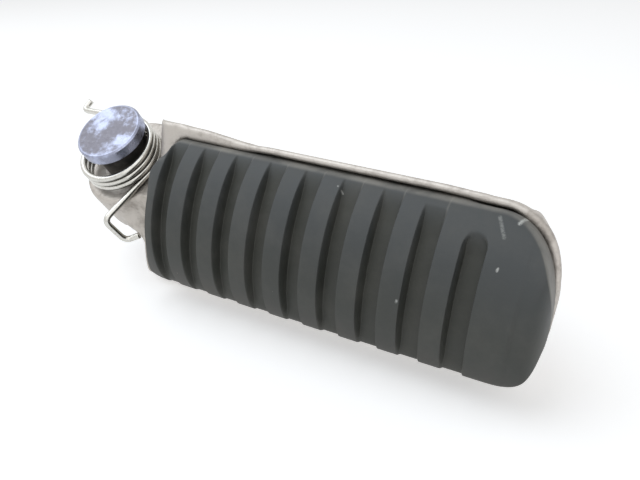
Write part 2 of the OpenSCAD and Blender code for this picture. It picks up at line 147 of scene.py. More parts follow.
class FootpegPadSettings(bpy.types.PropertyGroup):
    """Sizes of the ribbed rubber pad."""

    crown_half: length("Crown half width", 20.6, "Half width of the ellipse that gives the crown")
    crown_rise: length("Crown rise", 13.06, "Rise of that ellipse")
    crown_base: length("Crown base", 12.52, "Height of its centre over the hinge axis")
    crown_front: length("Crown front", 1.23, "How far its centre lies to the front")
    crown_lean: angle("Crown lean", 6.5, "Lean of the crown to the front")
    rear_taper: number("Rear taper", 0.262, "Draw-in of the rear edge at the outboard end, of the half width")
    rib_pitch: length("Rib pitch", 9.2, "Spacing of the ribs")
    groove_width: length("Groove width", 4.27, "Width of a groove at the crown")
    groove_depth: length("Groove depth", 3.0, "Depth of a groove at the crown")
    groove_count: IntProperty(name="Grooves", description="Number of grooves", default=9, min=1)
    groove_start: length("First groove", 24.0, "Inboard wall of the first groove, from the hinge axis")
    wall_run: length("Groove wall run", 0.6, "Run of a groove's wall, with its rounded edges")
    notch: length("Rear notch", 0.28, "Depth of the notch that a groove cuts into the rear edge")
    margin: length("Front margin", 0.2, "Smooth front margin at the first groove")
    margin_growth: length("Margin growth", 4.2, "Growth of that margin up to the last groove")
    margin_power: number("Margin power", 8.0, "How late that growth comes")
    fade: length("Groove fade", 6.5, "Run over which a groove fades out at the front")
    end_radius: length("Groove end radius", 2.6, "Rounding of a groove's front end, in plan")
    # Width of the band along the front edge that gets a painted highlight, where the rounded edge catches the
    # light from above.
    lip_highlight_width: length("Lip width", 0.9, "Width of the scuffed lip along the front edge")
    rear_run: length("Rear run", 4.5, "Run over which a groove gets shallower at the rear edge")
    rear_share: number("Rear share", 0.4, "Share of a groove's depth left at the rear edge")
    inboard_end: length("Inboard end", 17.13, "Inboard end, from the hinge axis")
    outboard_end: length("Outboard end", 115.0, "Outboard end, from the hinge axis")
    front_half: length("Front half width", 19.13, "Front edge, from the middle")
    rear_half: length("Rear half width", 18.6, "Rear edge at the inboard end, from the middle")
    front_cap: length("Front end cap", 12.7, "Run of the outboard end's front corner")
    front_cap_square: number("Front cap squareness", 2.15, "Exponent of that corner's outline")
    rear_cap: length("Rear end cap", 10.3, "Run of the outboard end's rear corner")
    rear_cap_square: number("Rear cap squareness", 3.3, "Exponent of that corner's outline")
    front_corner: length("Front corner", 7.6, "Run of the front inboard corner")
    front_corner_square: number("Front corner squareness", 1.3, "Exponent of that corner's outline")
    rear_corner: length("Rear corner", 6.8, "Run of the rear inboard corner")
    rear_corner_square: number("Rear corner squareness", 2.66, "Exponent of that corner's outline")
    end_round: length("End round", 6.3, "Run of the rounded outboard edge")
    end_round_square: number("End round squareness", 2.65, "Exponent of that edge's outline")
    end_base: length("End base", 16.95, "Height at which that edge starts")
    heel: length("Heel", 4.6, "Run of the sloped inboard face")
    heel_square: number("Heel squareness", 1.25, "Exponent of that face's outline")
    heel_base: length("Heel base", 13.7, "Height at which that face starts")
    foot_inset: length("Foot inset", 1.4, "How far the hidden foot stays back from the inboard end")
    tuck: length("Tuck", 4.2, "How far the foot is drawn in below the rim at the outboard end")
    tuck_side: number("Tuck side", 0.16, "Share of the width drawn in there")
    tuck_front: length("Tuck front", 17.0, "Level below which the foot is drawn in, at the front")
    tuck_rear: length("Tuck rear", 15.2, "The same level at the rear")
    edge_round: length("Edge round", 0.9, "Softness of the edge between the crown and the sides")


class FootpegSpringSettings(bpy.types.PropertyGroup):
    """Sizes of the hinge and its return spring."""

    hinge_lean: angle("Hinge lean", 45, "Lean of the hinge axis from vertical")
    wire: length("Wire", 1.7, "Diameter of the spring wire")
    inside: length("Coil inside", 18.6, "Inside diameter of the coil")
    turns: number("Turns", 3.0, "Full turns between the legs")
    turn_gap: length("Turn gap", 0.06, "Gap between turns")
    seat: length("Coil seat", 12.0, "Level of the knuckle's face along the hinge axis")
    slack_x: length("Slack inboard", 0.9, "How far the coil lies inboard of the hinge axis")
    slack_y: length("Slack rearward", 1.1, "How far the coil lies to the rear of the hinge axis")
    leg_start: number("Short leg angle", 90.0, "Angle in degrees at which the short leg leaves")
    leg_exit: number("Long leg angle", 13.0, "Angle in degrees past +X at which the long leg leaves")
    long_leg: length("Long leg", 17.0, "Straight length of the long leg")
    hook_drop: length("Hook drop", 8.0, "Drop of the hook along the hinge axis")
    hook_out: length("Hook out", 2.4, "Outboard shift of the hook")
    hook_back: length("Hook back", 0.6, "Rearward shift of the hook")
    hook_tip: length("Hook tip", 3.0, "Length of the hook's tip")
    short_leg: length("Short leg", 21.2, "Length of the short leg")
    short_drop: length("Short leg drop", 1.0, "Drop of the short leg along the hinge axis")
    toe: length("Toe", 3.3, "Length of the short leg's toe")
    bend: length("Bend", 2.0, "Size of each bend in the legs")


class FootpegCastingSettings(bpy.types.PropertyGroup):
    """Sizes of the cast body's visible shape."""

    voxel_first: length("First face size", 0.5, "Size of the even faces that are shaped")
    voxel: length("Face size", 0.52, "Size of the even faces of the finished casting")
    relax_rounds: IntProperty(name="Softening", description="Rounds of softening", default=3, min=0)
    rim: length("Rim", 16.6, "Level of the tray's rim over the hinge axis")
    knuckle_top: length("Knuckle top", 16.97, "Sum of the knuckle's front and upward distances, upper face")
    slope_start: length("Slope start", 17.4, "Where the slope beside the coil starts, from the hinge axis")
    slope_rise: number("Slope rise", 1.19, "Rise of that slope over its run")
    slope_round: length("Slope rounding", 1.4, "Softness of the edge above that slope")
    tip: length("Tip", 115.4, "Outboard end of the rim")
    tip_start: length("Tip start", 80.0, "Where the draw-in of the outboard end begins")
    tip_sweep: length("Tip sweep", 14.0, "How far the end is drawn in at its lowest level")
    tip_base: length("Tip base", 1.0, "That lowest level")
    tip_exponent: number("Tip exponent", 1.8, "Exponent of the end's side outline")
    flare_start: length("Flare start", 22.0, "Where the flare by the neck starts to run out lower down")
    flare_end: length("Flare end", 40.5, "Where it has run out")
    flare_low: length("Flare low", 11.0, "Level below which it follows that line")
    wall_rim: length("Wall at the rim", 20.8, "Front wall at the rim, from the middle")
    wall_low: length("Wall lower down", 20.0, "Front wall at the flare's low level")
    wall_foot: length("Wall foot", 17.6, "Front wall at the hinge axis's level")
    thick_start: length("Thick end start", 104.0, "Where the rim starts to widen towards the pad")
    thickening: length("Thickening", 1.5, "How far the rim widens inwards at the outboard end")
    side_thickening: length("Side thickening", 0.55, "How far it widens along the front")
    corner_draw: length("Corner draw", 1.1, "How far the front outboard corner draws in below the rim")
    neck_swell: length("Neck swell", 1.3, "How far the neck's front flank stands out beside the coil")
    rim_swell: length("Rim swell", 0.45, "How far the long front rim stands out further")


class FootpegFinishSettings(bpy.types.PropertyGroup):
    """Colours of the finishes, linear."""

    rubber: colour("Rubber", (0.041, 0.044, 0.039), "Worn top of the rubber")
    rubber_floor: colour("Groove floor", (0.040, 0.042, 0.035), "Dusty rubber down in the grooves")
    # Painted sheen: the bluish reflection of the window light on the ribs towards the front, put into the
    # colour.
    rubber_painted_sheen: colour("Rubber sheen", (0.051, 0.057, 0.060), "Bluish sheen of the ribs towards the front")
    rubber_low: colour("Rubber low", (0.050, 0.047, 0.040), "Browner rubber towards the rear")
    # Pale tint for the dusty specks and mottling, and also for the painted highlights on the rib edges and
    # along the front edge.
    dust_and_highlight: colour("Dust", (0.42, 0.40, 0.36), "Dust and scuffs on the rubber")
    cast: colour("Casting", (0.53, 0.495, 0.455), "Cast aluminium")
    cast_dark: colour("Casting stain", (0.31, 0.28, 0.25), "Stains and grime on the casting")
    zinc: colour("Zinc", (0.15, 0.142, 0.16), "Zinc plate on the pin and bolts")
    # Partly the plate's real whitish hazing, partly a painted bluish reflection of the window light on the
    # pin's head.
    zinc_haze_and_reflection: colour("Zinc haze", (0.46, 0.50, 0.66), "White haze on the zinc plate")
    # Lighter tint on the casting's sharp convex edges.
    cast_light: colour("Casting edges", (0.80, 0.77, 0.73), "Rubbed edges of the casting")
    wire: colour("Spring wire", (0.62, 0.61, 0.57), "Bright spring wire")
    steel: colour("Plain steel", (0.11, 0.105, 0.10), "Oiled steel of the collar and the insert")


class FootpegStageSettings(bpy.types.PropertyGroup):
    """The camera fitted to the photo, and the stage."""

    camera_place: vector("Camera", (0.12276, 0.04343, 0.12882), "Camera position")
    camera_right: vector("Right", (0.8673, 0.1087, -0.4858), "The picture's right")
    camera_back: vector("Back", (0.4366, 0.3027, 0.8472), "From the object to the viewer")
    focal: number("Focal length", 33.75, "Focal length in millimetres on a 36 mm wide sensor")
    floor_up: vector("Floor up", (-0.04, 0.975, 0.218), "Direction away from the floor the peg lies on")
    window_tint: colour("Window tint", (0.86, 0.93, 1.0), "Colour of the key light")
    key_power: number("Key power", 2.8, "Power of the key lamp in watts")
    fill_power: number("Fill power", 1.0, "Power of the fill lamp in watts")
    world_level: number("World", 0.42, "Strength of the world's light on the object")
    floor_glow: number("Floor glow", 0.42, "Light that the floor adds for the camera alone")


# Mesh helpers


def grid_mesh(name, points, cap_ends=False):
    """A mesh of quads over a grid of points with shape (rows, columns, 3).

    Neighbouring rows and columns are joined, and the last column is joined to the first. cap_ends closes the
    first and last rows with one face each.
    """
    rows, cols = points.shape[:2]
    i, j = np.meshgrid(np.arange(rows - 1), np.arange(cols), indexing="ij")
    i2, j2 = i + 1, (j + 1) % cols
    quads = np.stack([i * cols + j, i * cols + j2, i2 * cols + j2, i2 * cols + j], axis=-1).reshape(-1, 4)
    faces = quads.tolist()
    if cap_ends:
        faces.append(list(range(cols))[::-1])
        faces.append([(rows - 1) * cols + k for k in range(cols)])
    mesh = bpy.data.meshes.new(name)
    mesh.from_pydata(points.reshape(-1, 3).tolist(), [], faces)
    mesh.validate()
    return mesh


def add_object(name, data):
    """Links a new object at the origin."""
    obj = bpy.data.objects.new(name, data)
    bpy.context.scene.collection.objects.link(obj)
    return obj


def point_attribute(mesh, name, values):
    """Stores one number per vertex, for a material to read."""
    layer = mesh.attributes.new(name, "FLOAT", "POINT")
    layer.data.foreach_set("value", np.asarray(values, dtype=np.float32).ravel())


def smoothstep(x):
    """3x^2 - 2x^3 between 0 and 1."""
    x = np.clip(x, 0.0, 1.0)
    return x * x * (3.0 - 2.0 * x)


def ease(value, start, run):
    """Rises smoothly from 0 at the start to 1 after the run. A negative run falls instead."""
    return smoothstep((value - start) / run)


def quarter(run, exponent, distance):
    """Height from 0 to 1 of a superellipse quarter, at a distance from its foot; 1 beyond its run."""
    d = np.clip(1.0 - distance / run, 0.0, 1.0)
    return (1.0 - d ** exponent) ** (1.0 / exponent)


# Rubber pad


def soft_min(a, b, reach):
    """The lower of two values, with the corner between them rounded over the given reach."""
    return 0.5 * (a + b - np.sqrt((a - b) ** 2 + reach ** 2))


def pad_stations(s, x0, x1):
    """Places along X where the pad's section is taken, close together at the ends and in groove walls."""
    heel = x0 + s.heel * (1.0 - np.cos(np.linspace(0.0, np.pi / 2, 34)))
    cap = x1 - s.front_cap + s.front_cap * np.sin(np.linspace(0.0, np.pi / 2, 56))
    walls = []
    for k in range(s.groove_count):
        left = s.groove_start + k * s.rib_pitch
        for edge in (left, left + s.groove_width):
            walls.append(edge + s.wall_run * np.linspace(-0.6, 0.6, 11))
        walls.append(np.linspace(left + s.wall_run, left + s.groove_width - s.wall_run, 6))
        walls.append(np.linspace(left + s.groove_width + s.wall_run, left + s.rib_pitch - s.wall_run, 8))
    body = np.concatenate(walls)
    body = body[(body > x0 + s.heel * 0.999) & (body < x1)]
    cap = cap[(cap > body.max() + s.wall_run)]
    return np.unique(np.round(np.concatenate([heel, body, cap]), 6))


def groove_mask(s, x, y):
    """Depth of the grooves from 0 to 1, and a mask of their outboard edges, where a highlight is painted.

    A groove is full between its walls, which are eased, and fades out before the front edge. The last groove
    fades faster, and its front end is rounded in plan.
    """
    rib = s.rib_pitch - s.groove_width
    k = np.clip(np.floor((x - s.groove_start + rib / 2) / s.rib_pitch), 0, s.groove_count - 1)
    last = k > s.groove_count - 1.5
    middle = s.groove_start + k * s.rib_pitch + s.groove_width / 2
    margin = s.margin + s.margin_growth * (k / (s.groove_count - 1)) ** s.margin_power
    from_end = s.front_half - margin - y
    bow = np.clip(1.0 - from_end / s.end_radius, 0.0, 1.0)
    narrowing = s.end_radius * (1.0 - np.sqrt(1.0 - bow ** 2)) * last
    inside = s.groove_width / 2 - narrowing - np.abs(x - middle)
    along = smoothstep(inside / s.wall_run + 0.5)
    fade = np.where(last, 0.75, 1.0) * s.fade
    mask = along * np.sqrt(smoothstep(from_end / fade))
    # Painted highlight on the rounded outboard edge of each groove, where it catches the light.
    edge_highlight = 4.0 * along * (1.0 - along) * (x > middle)
    return mask, edge_highlight


def crown_points(s, half, rise, t):
    """Points at the angles t of the leaning ellipse, in the plane across the pad."""
    y, z = half * np.cos(t), rise * np.sin(t)
    c, w = np.cos(s.crown_lean), np.sin(s.crown_lean)
    return y * c + z * w + s.crown_front, z * c - y * w + s.crown_base


def pad_points(s, floor):
    """Grid of points over the pad.

    Each section is the leaning ellipse, cut by the front and rear lines of the plan outline and by the height
    of the side outline, each cut softened to a rounded edge. The plan outline is a superellipse at each
    corner, and its rear line draws in towards the outboard end. A second, lower ellipse gives the groove
    floors, and the mask of the grooves mixes the two, less at the rear edge.
    """
    x0, x1 = s.inboard_end, s.outboard_end
    x = pad_stations(s, x0, x1)[:, None]
    beyond = 0.12
    t = np.linspace(-beyond, np.pi + beyond, CROWN_POINTS)[None, :]
    front = quarter(s.front_corner, s.front_corner_square, x - x0)
    front = s.front_half * front * quarter(s.front_cap, s.front_cap_square, x1 - x)
    rear = quarter(s.rear_corner, s.rear_corner_square, x - x0)
    rear = s.rear_half * rear * quarter(s.rear_cap, s.rear_cap_square, x1 - x)
    rear = rear * (1.0 - s.rear_taper * (x - x0) / (x1 - x0))
    top = s.crown_base + s.crown_rise
    heel = s.heel_base + (top - s.heel_base) * quarter(s.heel, s.heel_square, x - x0)
    tip = s.end_base + (top - s.end_base) * quarter(s.end_round, s.end_round_square, x1 - x)
    ceiling = np.minimum(heel, tip) + 0.02 * MM

    outer_y, outer_z = crown_points(s, s.crown_half, s.crown_rise, t)
    floor_y, floor_z = crown_points(s, s.crown_half - s.notch, s.crown_rise - s.groove_depth, t)
    # edge is the mask of the groove edges that get a painted highlight.
    mask, edge = groove_mask(s, x, outer_y)
    mask = mask * (1.0 - (1.0 - s.rear_share) * smoothstep(1.0 - (outer_y + rear) / s.rear_run))
    y = outer_y + (floor_y - outer_y) * mask
    z = outer_z + (floor_z - outer_z) * mask
    z = np.where(ceiling < top * 0.9999, soft_min(z, ceiling, s.edge_round), z)
    reach = np.minimum(s.edge_round, 0.5 * front)
    y = soft_min(y, front, reach)
    y = -soft_min(-y, rear - s.notch * mask * (rear > 4 * s.notch), reach)
    y = np.clip(y, -rear, front)
    z = np.maximum(z, floor)
    points = np.stack([np.broadcast_to(x, y.shape), y, z], axis=-1)
    return points, mask, edge


def tuck_in(s, points):
    """Draws the pad's foot in below the tray's rim, so that it stays inside the wall at both ends."""
    x, y, z = np.moveaxis(points, -1, 0)
    level_run, end_run, heel_run = 2.2 * MM, 20 * MM, 3 * MM
    level = s.tuck_rear + (s.tuck_front - s.tuck_rear) * ease(y, -6 * MM, 12 * MM)
    below = ease(z, level, -level_run)
    end = np.clip((x - s.outboard_end + end_run) / end_run, 0.0, 1.0)
    heel = np.clip((s.inboard_end + heel_run - x) / heel_run, 0.0, 1.0)
    y = y * (1.0 - s.tuck_side * below * end)
    x = x - s.tuck * below * end ** 2 + s.foot_inset * below * heel
    return np.stack([x, y, z], axis=-1)


def foot(edge):
    """Points straight down from one edge of the crown to the pad's floor."""
    drop = np.linspace(0.0, 1.0, FOOT_STEPS + 1)[1:]
    points = np.repeat(edge, FOOT_STEPS, axis=1)
    points[:, :, 2] = edge[:, :, 2] + (PAD_FLOOR - edge[:, :, 2]) * drop
    return points


class FOOTPEG_OT_pad(bpy.types.Operator):
    """Builds the ribbed rubber pad in place of its plain solid"""

    bl_idname = "footpeg.pad"
    bl_label = "Rubber pad"

    def execute(self, context):
        s = context.scene.footpeg_pad
        top, mask, edge = pad_points(s, PAD_FLOOR)
        # Feet and underside close each section: down the front, across below and up the rear
        front = foot(top[:, :1])
        rear = foot(top[:, -1:])
        across = np.linspace(0.0, 1.0, BELOW_STEPS + 1)[1:-1][None, :, None]
        below = rear[:, -1:] + (front[:, -1:] - rear[:, -1:]) * across
        points = tuck_in(s, np.concatenate([front[:, ::-1], top, rear, below], axis=1))
        mesh = grid_mesh("pad_rubber", points)
        front_line = top[:, :, 1].max(axis=1, keepdims=True)
        # Painted highlight along the front edge, where the rubber's rounded edge catches the light from
        # above.
        lip_highlight = smoothstep((top[:, :, 1] - front_line + s.lip_highlight_width) / (0.6 * s.lip_highlight_width))
        # Of these layers, edge and the front band carry the painted highlights.
        for name, values in (("groove", mask), ("edge", edge), ("lip_highlight", lip_highlight)):
            layer = np.zeros(points.shape[:2])
            end = FOOT_STEPS + values.shape[1]
            layer[:, FOOT_STEPS:end] = values
            layer[:, end:end + FOOT_STEPS] = values[:, -1:]
            point_attribute(mesh, name, layer)
        merge_and_orient(mesh)
        pad = add_object("pad_rubber", mesh)
        pad.data.materials.append(bpy.data.materials["worn_rubber"])
        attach(pad, "peg")
        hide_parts("rubber_pad")
        return {"FINISHED"}


def merge_and_orient(mesh, distance=0.5e-5):
    """Merges doubled points and turns all faces outwards."""
    bm = bmesh.new()
    bm.from_mesh(mesh)
    bmesh.ops.remove_doubles(bm, verts=bm.verts, dist=distance)
    bmesh.ops.dissolve_degenerate(bm, edges=bm.edges, dist=1e-7)
    bmesh.ops.recalc_face_normals(bm, faces=bm.faces)
    bm.to_mesh(mesh)
    bm.free()
    mesh.update()
    mesh.shade_smooth()


# Return spring


def rounded(points, bend):
    """A path through the points with each inner corner replaced by a quadratic curve of that reach."""
    out = [points[:1]]
    u = np.linspace(0.0, 1.0, 8)[:, None]
    for a, b, c in zip(points[:-2], points[1:-1], points[2:]):
        p = b + bend * (a - b) / np.linalg.norm(a - b)
        q = b + bend * (c - b) / np.linalg.norm(c - b)
        out.append((1 - u) ** 2 * p + 2 * u * (1 - u) * b + u ** 2 * q)
    out.append(points[-1:])
    return np.concatenate(out)


def spring_path(s):
    """Centreline of the wire in the hinge's axes: short leg, a helix that falls turn by turn, long leg."""
    radius = (s.inside + s.wire) / 2
    pitch = s.wire + s.turn_gap
    sweep = 360.0 * s.turns + s.leg_start + s.leg_exit
    low = s.seat + s.wire / 2 + s.turn_gap
    top = low + pitch * sweep / 360.0
    a = np.linspace(0.0, sweep, int(sweep / 4))
    angle = np.radians(s.leg_start - a)
    coil = np.stack([radius * np.cos(angle) - s.slack_x, radius * np.sin(angle) - s.slack_y,
                     top - pitch * a / 360.0], axis=1)
    toe_1 = coil[0] + np.array([-s.short_leg, 0, -s.short_drop])
    toe_2 = toe_1 + np.array([0.25 * s.toe, s.toe, 0.5 * MM])
    away = np.array([-np.sin(np.radians(s.leg_exit)), -np.cos(np.radians(s.leg_exit)), 0.0])
    hook_1 = coil[-1] + s.long_leg * away
    hook_2 = hook_1 + np.array([s.hook_out, -s.hook_back, -s.hook_drop])
    hook_3 = hook_2 + np.array([s.hook_tip, 0.9 * s.hook_tip, 0])
    first = rounded(np.stack([toe_2, toe_1, coil[0]]), s.bend)[:-1]
    last = rounded(np.stack([coil[-1], hook_1, hook_2, hook_3]), s.bend)[1:]
    return np.concatenate([first, coil, last])


def hinge_matrix(lean):
    """Turns points drawn with the hinge axis on Z into the peg's frame."""
    return np.array(Matrix.Rotation(-lean, 3, "X"))


def tube(path, radius, sides):
    """Grid of points round a path: a circle in the plane across the path, carried along without twist."""
    tangent = np.gradient(path, axis=0)
    tangent /= np.linalg.norm(tangent, axis=1, keepdims=True)
    normal = np.array([0.0, 0.0, 1.0])
    rings = []
    ring = np.linspace(0.0, 2 * np.pi, sides, endpoint=False)[:, None]
    for point, along in zip(path, tangent):
        normal = normal - along * (normal @ along)
        normal = normal / np.linalg.norm(normal)
        side = np.cross(along, normal)
        rings.append(point + radius * (np.cos(ring) * normal + np.sin(ring) * side))
    return np.stack(rings)


class FOOTPEG_OT_spring(bpy.types.Operator):
    """Winds the return spring between the pin and the peg"""

    bl_idname = "footpeg.spring"
    bl_label = "Return spring"

    def execute(self, context):
        s = context.scene.footpeg_spring
        turn = hinge_matrix(s.hinge_lean)
        axis = turn @ np.array([0.0, 0.0, 1.0])
        path = spring_path(s) @ turn.T
        step = np.linalg.norm(np.diff(path, axis=0), axis=1)
        place = np.concatenate([[0.0], np.cumsum(step)])
        fine = np.linspace(0.0, place[-1], int(place[-1] / WIRE_STEP))
        path = np.stack([np.interp(fine, place, path[:, c]) for c in range(3)], axis=1)
        wire = tube(path, s.wire / 2, WIRE_SIDES)
        mesh = grid_mesh("spring_wire", wire, cap_ends=True)
        # The turns shade each other: their undersides are marked for the material, the legs aren't
        upward = (wire - path[:, None, :]) @ axis / (s.wire / 2)
        from_axis = np.linalg.norm(np.cross(path, axis), axis=1)
        in_coil = ease(from_axis, 0.5 * s.inside + s.wire + s.slack_y, -0.6 * MM)
        point_attribute(mesh, "underside", np.clip(0.45 - upward, 0.0, 1.0) * in_coil[:, None])
        merge_and_orient(mesh)
        spring = add_object("spring_wire", mesh)
        spring.data.materials.append(bpy.data.materials["bright_wire"])
        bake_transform(spring)
        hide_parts("return_spring")
        return {"FINISHED"}


# Casting and fixings


def dress(node, material):
    """Gives a CAD node one material in place of its own."""
    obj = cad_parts[node]
    obj.data.materials.clear()
    obj.data.materials.append(bpy.data.materials[material])


def even_copy(mesh, voxel):
    """The mesh made anew from even small faces, so that its points can be shaped and its edges softened."""
    obj = add_object("casting_draft", mesh)
    remesh = obj.modifiers.new("even", "REMESH")
    remesh.mode = "VOXEL"
    remesh.voxel_size = voxel
    graph = bpy.context.evaluated_depsgraph_get()
    even = bpy.data.meshes.new_from_object(obj.evaluated_get(graph), depsgraph=graph)
    bpy.data.objects.remove(obj)
    bpy.data.meshes.remove(mesh)
    return even


def read_points(mesh):
    """The mesh's points as an array, in metres."""
    points = np.empty(len(mesh.vertices) * 3, np.float32)
    mesh.vertices.foreach_get("co", points)
    return points.reshape(-1, 3).astype(np.float64)


def write_points(mesh, points):
    """Puts an array of points back into the mesh."""
    mesh.vertices.foreach_set("co", points.astype(np.float32).ravel())
    mesh.update()


def draw_in(s, x, z):
    """Draws the outboard end in below the rim, along a superellipse quarter from the rim's level down."""
    band = 0.8 * MM
    levels = np.arange(z.min(), z.max() + MM, MM)
    reach = np.array([x[np.abs(z - level) < band].max() for level in levels])
    old = np.interp(z, levels, reach)
    depth = (z - s.tip_base) / (s.rim - s.tip_base)
    new = s.tip - s.tip_sweep * (1.0 - quarter(1.0, s.tip_exponent, np.clip(depth, 0.0, 1.0)))
    along = np.clip((x - s.tip_start) / (old - s.tip_start + MM), 0.0, 1.0)
    return x - np.maximum(old - new, 0.0) * np.where(old > s.tip_start + 10 * MM, along, 0.0) ** 2


def zone(limits, x, y, z):
    """1 inside all the limits and 0 beyond one of them, eased over the run of each."""
    places = {"x": x, "y": y, "z": z}
    share = 1.0
    for axis, start, run in limits:
        share = share * ease(places[axis], start * MM, run * MM)
    return share


def front_wall(s, x, y, z):
    """Shapes the front flank.

    The flare by the neck runs out lower down, the neck swells beside the coil, the outboard corner is drawn
    in below the rim and the long front rim stands out a little.
    """
    wall = np.interp(z, [0.0, s.flare_low, s.rim], [s.wall_foot, s.wall_low, s.wall_rim])
    share = np.clip((s.flare_end - x) / (s.flare_end - s.flare_start), 0.0, 1.0)
    upper = ease(z, s.flare_low, s.rim - s.flare_low)
    share = share + (1.0 - share) * upper
    y = np.where((y > wall) & (x > 0.5 * s.flare_start), wall + (y - wall) * share, y)
    y = y + s.neck_swell * zone(NECK_ZONE, x, y, z)
    y = y - s.corner_draw * zone(CORNER_ZONE, x - s.tip, y, z)
    long_side = ease(x, s.flare_end, 10 * MM) * ease(x, s.tip - 14 * MM, -12 * MM)
    return y + s.rim_swell * long_side * upper * (y > 0.8 * s.wall_foot)


def thicken_wall(s, mesh, points):
    """Thickens the tray's wall inwards along the front, and more at its outboard end, to meet the pad."""
    normal = np.empty(len(points) * 3, np.float32)
    mesh.vertex_normals.foreach_get("vector", normal)
    normal = normal.reshape(-1, 3)
    x, y, z = points.T
    corner_run = 12 * MM
    outward = np.stack([np.clip((x - s.tip + corner_run) / corner_run, 0.0, 1.0), y / s.wall_rim], axis=1)
    outward /= np.maximum(np.linalg.norm(outward, axis=1, keepdims=True), 1e-9)
    inner = np.clip(-2.0 * (normal[:, :2] * outward).sum(axis=1), 0.0, 1.0)
    end = ease(x, s.thick_start, 4 * MM)
    side = (y > 0) * ease(x, s.flare_start, 6 * MM) * (1.0 - end)
    step = (s.thickening * end + s.side_thickening * side) * inner * ease(z, 10 * MM, 2 * MM)
    return np.stack([x - outward[:, 0] * step, y - outward[:, 1] * step, z], axis=1)


def beside_coil(s, x, y, z):
    """Lowers what stands beside the coil to a slope, but not below the knuckle's upper face."""
    slope = s.rim - s.slope_rise * (s.slope_start - x)
    lowered = np.where(x < s.slope_start + 4 * MM, soft_min(z, slope, s.slope_round), z)
    return np.maximum(lowered, np.minimum(z, s.knuckle_top - y))


def relax(mesh, points, rounds):
    """Moves every point halfway to the mean of its neighbours, some rounds over."""
    edges = np.empty(len(mesh.edges) * 2, np.int32)
    mesh.edges.foreach_get("vertices", edges)
    a, b = edges.reshape(-1, 2).T
    count = np.bincount(edges, minlength=len(points))[:, None]
    for _ in range(rounds):
        columns = []
        for column in points.T:
            total = np.bincount(a, column[b], len(points)) + np.bincount(b, column[a], len(points))
            columns.append(total)
        points = 0.5 * (points + np.stack(columns, axis=1) / np.maximum(count, 1))
    return points


class FOOTPEG_OT_casting(bpy.types.Operator):
    """Shapes and softens the cast aluminium body on a copy of its plain solid"""

    bl_idname = "footpeg.casting"
    bl_label = "Casting"

    def execute(self, context):
        s = context.scene.footpeg_casting
        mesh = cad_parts["peg_body"].data.copy()
        mesh.materials.clear()
        merge_and_orient(mesh, 1e-6)
        mesh = even_copy(mesh, s.voxel_first)
        points = read_points(mesh)
        x, y, z = points.T
        z = beside_coil(s, x, y, z)
        x = draw_in(s, x, z)
        y = front_wall(s, x, y, z)
        write_points(mesh, np.stack([x, y, z], axis=1))
        write_points(mesh, thicken_wall(s, mesh, read_points(mesh)))
        mesh = even_copy(mesh, s.voxel)
        mesh.name = "casting_body"
        write_points(mesh, relax(mesh, read_points(mesh), s.relax_rounds))
        mesh.shade_smooth()
        casting = add_object("casting_body", mesh)
        casting.data.materials.append(bpy.data.materials["blasted_aluminium"])
        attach(casting, "peg")
        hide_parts("peg_body")
        return {"FINISHED"}


class FOOTPEG_OT_hardware(bpy.types.Operator):
    """Finishes the pin, the collar and the pad's fixings"""

    bl_idname = "footpeg.hardware"
    bl_label = "Pin and fixings"

    def execute(self, context):
        dress("pivot_pin", "zinc_plate")
        dress("spring_collar", "plain_steel")
        dress("pad_plate", "plain_steel")
        for end in ("inner", "outer"):
            dress("pad_nut_" + end, "plain_steel")
            dress("pad_washer_" + end, "zinc_plate")
            dress("pad_bolt_" + end, "zinc_plate")
        return {"FINISHED"}


# Materials


def new_group(name, inputs):
    """A shader group with number or vector inputs and one output, Mask, and its input and output nodes."""
    group = bpy.data.node_groups.new(name, "ShaderNodeTree")
    kinds = {"f": "NodeSocketFloat", "v": "NodeSocketVector"}
    for label, kind, default in inputs:
        socket = group.interface.new_socket(name=label, in_out="INPUT", socket_type=kinds[kind])
        if default is not None:
            socket.default_value = default
    group.interface.new_socket(name="Mask", in_out="OUTPUT", socket_type=kinds["f"])
    return group, group.nodes.new("NodeGroupInput"), group.nodes.new("NodeGroupOutput")


class Tree:
    """Short names for adding and joining nodes in one tree."""

    def __init__(self, tree):
        self.nodes = tree.nodes
        self.links = tree.links

    def add(self, kind, links=None, **settings):
        """Adds a node, sets it up and joins or fills its inputs."""
        node = self.nodes.new("ShaderNode" + kind)
        for key, value in settings.items():
            setattr(node, key, value)
        for key, value in (links or {}).items():
            socket = node.inputs[key]
            if isinstance(value, bpy.types.NodeSocket):
                self.links.new(value, socket)
            else:
                socket.default_value = value
        return node

    def noise(self, place, scale, detail, rough):
        """Noise between 0 and 1."""
        return self.add("TexNoise", {"Vector": place, "Scale": scale, "Detail": detail,
                                     "Roughness": rough}).outputs["Fac"]

    def ramp(self, value, low, high, out_low=0.0, out_high=1.0):
        """Eases from one output to the other while the value goes from low to high."""
        node = self.add("MapRange", {"Value": value, "From Min": low, "From Max": high, "To Min": out_low,
                                     "To Max": out_high}, interpolation_type="SMOOTHSTEP")
        return node.outputs["Result"]

    def math(self, operation, a, b):
        """A sum, product or the like of two numbers."""
        return self.add("Math", {0: a, 1: b}, operation=operation).outputs[0]

    def vector(self, operation, a, b, output="Vector"):
        """A difference, product or the like of two vectors."""
        return self.add("VectorMath", {0: a, 1: b}, operation=operation).outputs[output]

    def length(self, a):
        """The length of a vector."""
        return self.add("VectorMath", {0: a}, operation="LENGTH").outputs["Value"]

    def mix(self, factor, a, b):
        """A blend of two colours."""
        return self.add("Mix", {0: factor, 6: a, 7: b}, data_type="RGBA").outputs[2]

    def attribute(self, name):
        """A number stored per vertex."""
        return self.add("Attribute", attribute_name=name).outputs["Fac"]

    def seen(self):
        """1 for rays from the camera and their reflections, 0 for light on the object."""
        path = self.add("LightPath")
        return self.math("MAXIMUM", path.outputs["Is Camera Ray"], path.outputs["Is Glossy Ray"])


def rgba(colour_value):
    """A property colour with full alpha."""
    return (*colour_value, 1.0)


